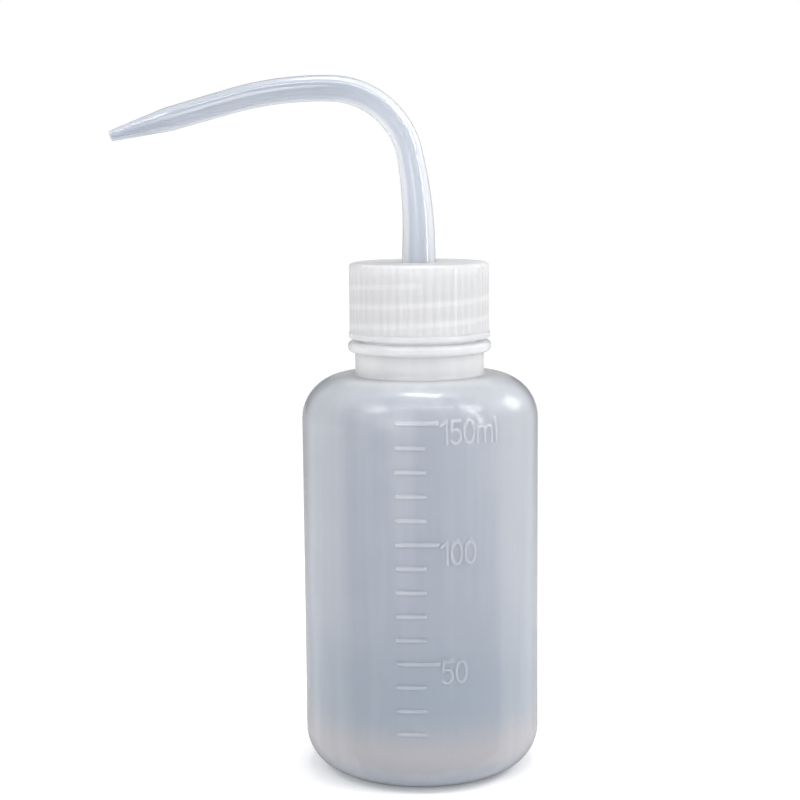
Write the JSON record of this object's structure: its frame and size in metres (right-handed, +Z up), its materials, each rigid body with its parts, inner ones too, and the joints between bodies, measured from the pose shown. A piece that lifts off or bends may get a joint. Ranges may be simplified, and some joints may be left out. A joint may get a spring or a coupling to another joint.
{
  "type": "wash bottle",
  "caption": "Laboratory squeeze bottle with a volume scale, a ribbed screw cap, and a bent tapered jet spout fed by a dip tube.",
  "frame": {"origin": "centre of the standing ring, on the bottle's axis", "axes": "+Z up along the bottle's axis, -X the way the spout points, -Y the way the volume scale faces"},
  "size_m": [0.093, 0.0523, 0.1531],
  "materials": {
    "bottle_ldpe": "natural translucent low-density polyethylene, satin",
    "plug_ldpe": "natural polyethylene, satin",
    "spout_ldpe": "natural translucent low-density polyethylene, smooth and waxy",
    "dip_tube_ldpe": "natural translucent polyethylene tube, smooth",
    "cap_plastic": "white translucent moulded polyethylene, satin"
  },
  "bodies": {
    "bottle": {"bottle": "bottle_ldpe"},
    "plug": {"seal_plug": "plug_ldpe"},
    "jet": {"spout": "spout_ldpe", "dip_tube": "dip_tube_ldpe"},
    "cap": {"screw_cap": "cap_plastic"}
  },
  "joints": [
    {"name": "closure_lift", "type": "slide", "parent": "bottle", "child": "plug", "axis": [0, 0, 1], "range_m": [0, 0.00847]},
    {"name": "cap_turn", "type": "hinge", "parent": "plug", "child": "cap", "pos_m": [0, 0, 0.1045], "axis": [0, 0, 1], "range_deg": [0, 720]},
    {"name": "spout_swivel", "type": "hinge", "parent": "plug", "child": "jet", "pos_m": [0, 0, 0.105], "axis": [0, 0, 1], "continuous": true}
  ],
  "couplings": [
    {"joint": "cap_turn", "follows": "closure_lift", "rad_per_m": 1484.2}
  ]
}
